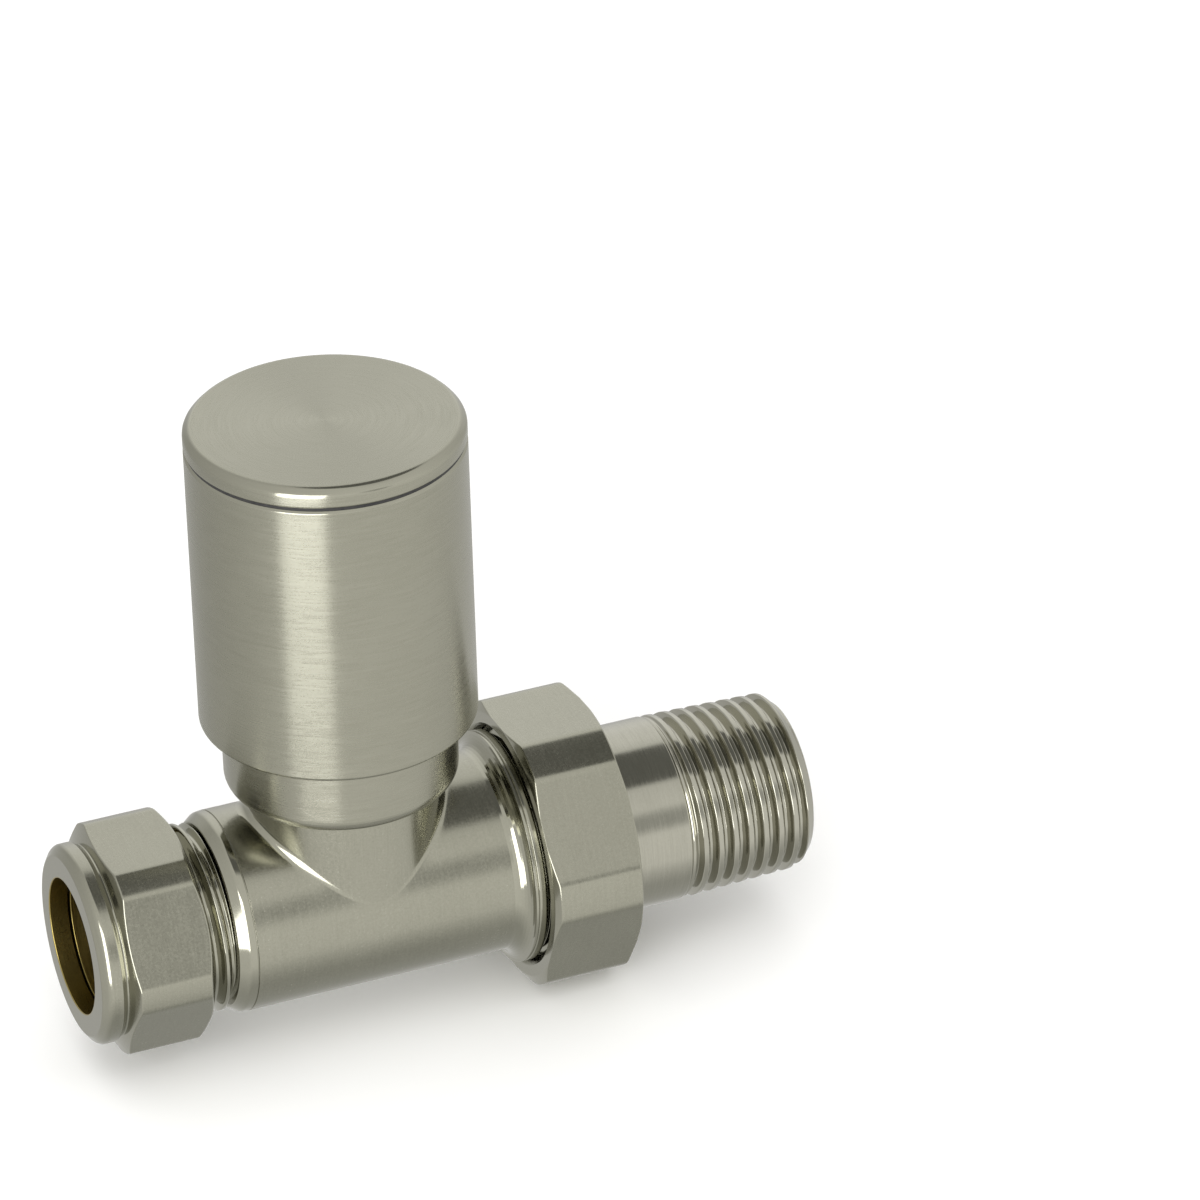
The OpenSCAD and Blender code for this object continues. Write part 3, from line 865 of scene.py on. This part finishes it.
def outward(azimuth, elevation):
    """Unit vector at an azimuth and elevation in degrees. Azimuth 0 is in front, on the
    -Y side."""
    a, e = math.radians(azimuth), math.radians(elevation)
    return Vector((math.sin(a) * math.cos(e), -math.cos(a) * math.cos(e), math.sin(e)))


def softbox(name, azimuth, elevation, distance, size, power, glossy=True):
    """A rectangular lamp that faces the valve. A lamp that isn't glossy lights the floor
    without showing in the metal."""
    target = row(5, 0, 20)
    away = outward(azimuth, elevation)
    lamp = bpy.data.lights.new(name, "AREA")
    lamp.shape = "RECTANGLE"
    lamp.size, lamp.size_y = size
    lamp.energy = power
    obj = bpy.data.objects.new(name, lamp)
    obj.location = target + away * distance
    obj.rotation_euler = (-away).to_track_quat("-Z", "Y").to_euler()
    obj.visible_glossy = glossy
    bpy.context.scene.collection.objects.link(obj)


def facing(tree, direction, toward, edge, core):
    """0 where a direction is more than edge degrees from toward, 1 within core degrees."""
    near = tree.nodes.new("ShaderNodeVectorMath")
    near.operation = "DOT_PRODUCT"
    near.inputs[1].default_value = Vector(toward).normalized()
    link(tree, direction, near.inputs[0])
    low, high = (math.cos(math.radians(v)) for v in (edge, core))
    return remap(tree, near.outputs["Value"], low, high, 0.0, 1.0)


FRONT = (1.12, 1.11, 1.08)
BEHIND = (0.58, 0.577, 0.56)
GROUND = (0.55, 0.55, 0.53)
BACKDROP = (1.16, 1.155, 1.14)
CEILING = (0.20, 0.20, 0.19)
CARD = (0.58, 0.58, 0.56)


def world():
    """Studio walls, pale in front and dim behind, over a grey ground, with a bright
    backdrop, a dark ceiling and a grey card low in front."""
    w = bpy.data.worlds.new("studio")
    w.use_nodes = True
    tree = w.node_tree
    direction = tree.nodes.new("ShaderNodeTexCoord").outputs["Generated"]
    tone = mix_colour(tree, facing(tree, direction, (0.1, -1.0, 0.0), 180, 0), BEHIND, FRONT)
    tone = mix_colour(tree, facing(tree, direction, (0.1, 0.0, -1.0), 52, 22), tone, GROUND)
    tone = mix_colour(tree, facing(tree, direction, (0.31, 0.80, 0.51), 45, 15), tone, BACKDROP)
    tone = mix_colour(tree, facing(tree, direction, (0.25, 0.0, 0.95), 27, 22), tone, CEILING)
    tone = mix_colour(tree, facing(tree, direction, (0.31, -0.90, 0.30), 15, 5), tone, CARD)
    link(tree, tone, tree.nodes["Background"].inputs["Color"])
    bpy.context.scene.world = w


def camera():
    """The camera looks at aim from azimuth and elevation, rolled a little clockwise."""
    azimuth, elevation, roll, distance, lens = -21.131, 30.600, -1.672, 0.843116, 233.86
    aim = row(29.63, -2.38, 29.69)
    a, r = math.radians(azimuth), math.radians(roll)
    back = outward(azimuth, elevation)
    side = Vector((math.cos(a), math.sin(a), 0))
    up = back.cross(side)
    right = side * math.cos(r) + up * math.sin(r)
    top = up * math.cos(r) - side * math.sin(r)
    data = bpy.data.cameras.new("camera")
    data.lens = lens
    data.sensor_width = 36.0
    data.clip_start = 0.01
    obj = bpy.data.objects.new("camera", data)
    obj.matrix_world = Matrix((right, top, back)).transposed().to_4x4()
    obj.matrix_world.translation = aim + back * distance
    bpy.context.scene.collection.objects.link(obj)
    bpy.context.scene.camera = obj


camera()
world()
floor()
softbox("key", -40, 8, 0.55, (0.36, 0.6), 2.8)
softbox("fill", 0, 80, 0.9, (1.2, 1.2), 5.0, glossy=False)

cap_shell()
cap_disc()
shroud()
bonnet()
gland_nut()
cap_adaptor()
spindle()
pipe_nut()
union_nut()
olive()
tail()
valve_body()

for seal in ("bonnet_seal", "cap_oring", "cap_gasket", "spindle_orings", "seat_washer", "tail_seal"):
    finish_cad(seal, RUBBER)
finish_cad("gland_packing", PTFE)
finish_cad("jumper", PLAIN_BRASS)
finish_cad("washer_screw", PLAIN_STEEL)

bpy.context.scene.view_settings.view_transform = "Standard"
